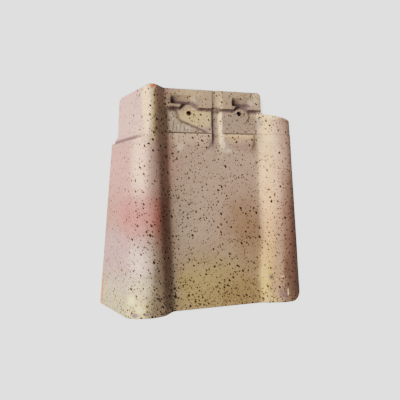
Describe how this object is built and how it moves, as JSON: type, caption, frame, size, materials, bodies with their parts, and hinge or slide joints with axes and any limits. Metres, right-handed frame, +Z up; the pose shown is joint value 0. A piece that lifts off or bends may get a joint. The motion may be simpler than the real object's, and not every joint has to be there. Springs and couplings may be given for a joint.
{
  "type": "verge tile",
  "caption": "Left-hand clay verge tile: level pan between a cover roll and a verge roll whose hanging wing covers the gable edge; nail holes and lap band at the head, nibs beneath.",
  "frame": {"origin": "on the ground, under the middle of the tile's bounding box, as it lies on the lower edge of its wing and the free edge of its cover roll", "axes": "+Y up the slope from the tail edge to the head edge, +X across the tile from the wing to the cover roll, +Z up from the ground; the pan's normal leans 11.9 degrees from +Z towards +X"},
  "size_m": [0.4222, 0.44, 0.1014],
  "materials": {
    "slipped_clay": "matt fired clay under a sandy cream and pink slip with dark speckles"
  },
  "bodies": {
    "root": {"verge_tile": "slipped_clay"}
  },
  "joints": []
}
